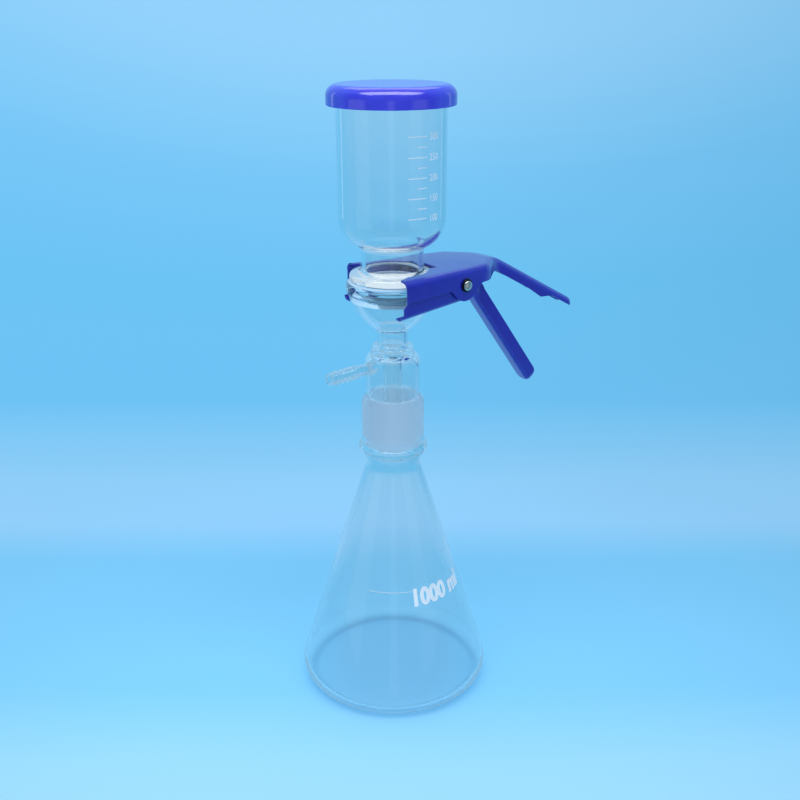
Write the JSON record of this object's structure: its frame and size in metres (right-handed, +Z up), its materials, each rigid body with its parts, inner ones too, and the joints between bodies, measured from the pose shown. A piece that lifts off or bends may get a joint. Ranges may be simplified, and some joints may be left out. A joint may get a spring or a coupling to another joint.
{
  "type": "vacuum filtration unit",
  "caption": "Glass filtration unit: capped graduated funnel clamped on a fritted head with side arm, standing on a conical receiving flask.",
  "frame": {"origin": "centre of the flask's base, on the surface it stands on", "axes": "+Z up along the glass axis, +X along the clamp towards its handles, so the side arm points towards -X"},
  "size_m": [0.2399, 0.143, 0.449],
  "materials": {
    "clear_glass": "polished, ground where the joint's cone and socket meet",
    "sintered_glass": "matt white, porous",
    "membrane": "matt white sheet",
    "blue_plastic": "satin moulded",
    "blue_metal": "deep blue anodised, satin",
    "steel": "bright drawn",
    "black_steel": "blackened"
  },
  "bodies": {
    "unit": {"flask": "clear_glass", "filter_head": "clear_glass", "frit_disc": "sintered_glass", "membrane_filter": "membrane", "funnel": "clear_glass", "lid": "blue_plastic", "clamp_upper_jaw": "blue_metal", "pivot_pin": "steel", "retaining_ring_left": "black_steel", "retaining_ring_right": "black_steel", "torsion_spring": "steel"},
    "lower_jaw": {"clamp_lower_jaw": "blue_metal"}
  },
  "joints": [
    {"name": "clamp_hinge", "type": "hinge", "parent": "unit", "child": "lower_jaw", "pos_m": [0.041, 0, 0.31377], "axis": [0, -1, 0], "range_deg": [0, 20], "stiffness_Nm_per_rad": 2, "springref_deg": -20.05, "deforming": ["torsion_spring"]}
  ]
}
